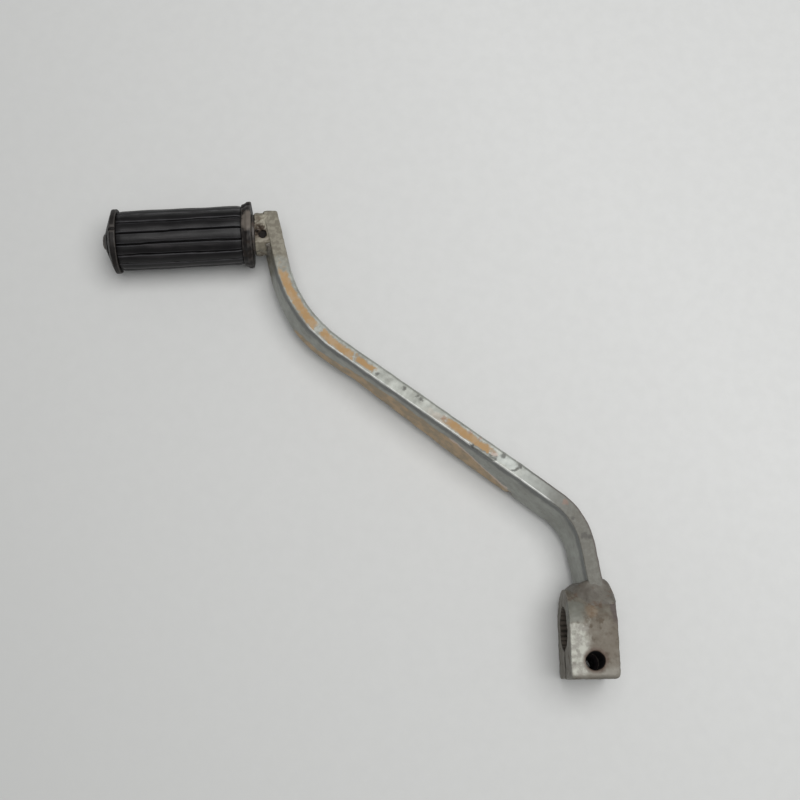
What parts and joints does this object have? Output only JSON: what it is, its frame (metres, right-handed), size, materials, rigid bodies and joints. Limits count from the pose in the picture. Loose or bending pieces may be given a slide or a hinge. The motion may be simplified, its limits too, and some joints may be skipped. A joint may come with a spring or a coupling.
{
  "type": "foot gear-change lever",
  "caption": "Foot lever with a splined pinch-clamp boss, a twice-bent steel bar and a ribbed rubber peg that turns on its spindle.",
  "frame": {"origin": "centre of the splined bore, at the middle of the boss's width", "axes": "+X along the splined bore towards the gearbox, +Y up the lever towards the peg, +Z towards the pinch bolt's head side"},
  "size_m": [0.1863, 0.1806, 0.0276],
  "materials": {
    "plated_steel": "dull plating, flaked, with ochre rust patches",
    "boss_steel": "worn forged steel with brown rust",
    "weld_metal": "dark weld metal, lumpy",
    "stub_steel": "worn steel, rusty round the pin hole",
    "pin_steel": "bare turned steel",
    "rusted_pin": "dark rust",
    "dark_steel": "dark brown rusted sheet steel",
    "bush_bronze": "plain bearing bronze",
    "peg_rubber": "aged black rubber, dusty on the ribs"
  },
  "bodies": {
    "lever": {"lever_arm": "plated_steel", "clamp_boss": "boss_steel", "boss_weld_inner": "weld_metal", "boss_weld_outer": "weld_metal", "boss_weld_front": "weld_metal", "boss_weld_back": "weld_metal", "peg_stub": "stub_steel", "stub_weld": "weld_metal", "peg_spindle": "pin_steel", "spindle_cross_pin": "rusted_pin", "rivet_washer": "dark_steel"},
    "peg": {"inner_end_plate": "dark_steel", "grip_tube": "pin_steel", "inner_bush": "bush_bronze", "outer_bush": "bush_bronze", "rubber_grip": "peg_rubber", "outer_end_cap": "dark_steel", "inner_thrust_washer": "pin_steel"}
  },
  "joints": [
    {"name": "peg_spin", "type": "hinge", "parent": "lever", "child": "peg", "pos_m": [-0.1203, 0.1498, 0], "axis": [-0.9982, -0.0593, 0], "continuous": true}
  ]
}
